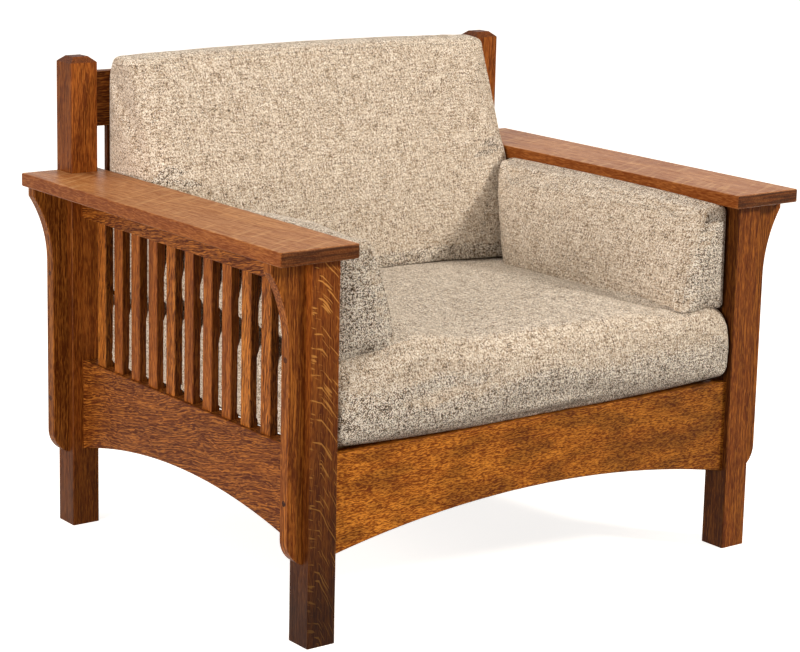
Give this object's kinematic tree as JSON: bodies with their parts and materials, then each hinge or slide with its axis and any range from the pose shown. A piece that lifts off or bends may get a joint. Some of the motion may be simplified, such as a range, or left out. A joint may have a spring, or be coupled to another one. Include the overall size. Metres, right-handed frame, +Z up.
{
  "type": "mission armchair",
  "caption": "Wide mission armchair in quarter-sawn oak: slatted sides, flat arms on corbels, arched aprons, and loose seat, back and side cushions.",
  "frame": {"origin": "on the floor, under the middle of the chair's outline", "axes": "+Z up, the front faces -Y, +X to the right for someone who faces the chair"},
  "size_m": [1.082, 0.802, 0.85],
  "materials": {
    "oak": "quarter-sawn white oak, stained warm brown, satin lacquer",
    "oak_plug": "end-grain oak plug, stained with the corbel, satin lacquer",
    "deck_wood": "planed poplar, unfinished",
    "upholstery_fabric": "flecked wool-blend tweed, cream with grey-brown flecks",
    "screw_steel": "zinc-plated steel"
  },
  "bodies": {
    "root": {"front_leg_left": "oak", "front_leg_right": "oak", "rear_post_left": "oak", "rear_post_right": "oak", "arm_left": "oak", "arm_right": "oak", "front_apron": "oak", "rear_apron": "oak", "side_bottom_rail_left": "oak", "side_bottom_rail_right": "oak", "side_top_rail_left": "oak", "side_top_rail_right": "oak", "back_top_rail": "oak", "side_slat_left_01": "oak", "side_slat_left_02": "oak", "side_slat_left_03": "oak", "side_slat_left_04": "oak", "side_slat_left_05": "oak", "side_slat_left_06": "oak", "side_slat_left_07": "oak", "side_slat_left_08": "oak", "side_slat_left_09": "oak", "side_slat_left_10": "oak", "side_slat_left_11": "oak", "side_slat_right_01": "oak", "side_slat_right_02": "oak", "side_slat_right_03": "oak", "side_slat_right_04": "oak", "side_slat_right_05": "oak", "side_slat_right_06": "oak", "side_slat_right_07": "oak", "side_slat_right_08": "oak", "side_slat_right_09": "oak", "side_slat_right_10": "oak", "side_slat_right_11": "oak", "back_slat_01": "oak", "back_slat_02": "oak", "back_slat_03": "oak", "back_slat_04": "oak", "back_slat_05": "oak", "back_slat_06": "oak", "back_slat_07": "oak", "back_slat_08": "oak", "corbel_front_left": "oak", "corbel_front_right": "oak", "corbel_rear_left": "oak", "corbel_rear_right": "oak", "corbel_plugs": "oak_plug", "corbel_screws": "screw_steel", "seat_cleat_front": "deck_wood", "seat_cleat_rear": "deck_wood", "seat_slat_01": "deck_wood", "seat_slat_02": "deck_wood", "seat_slat_03": "deck_wood", "seat_slat_04": "deck_wood", "seat_slat_05": "deck_wood", "seat_cushion": "upholstery_fabric", "back_cushion": "upholstery_fabric", "side_cushion_left": "upholstery_fabric", "side_cushion_right": "upholstery_fabric"}
  },
  "joints": []
}
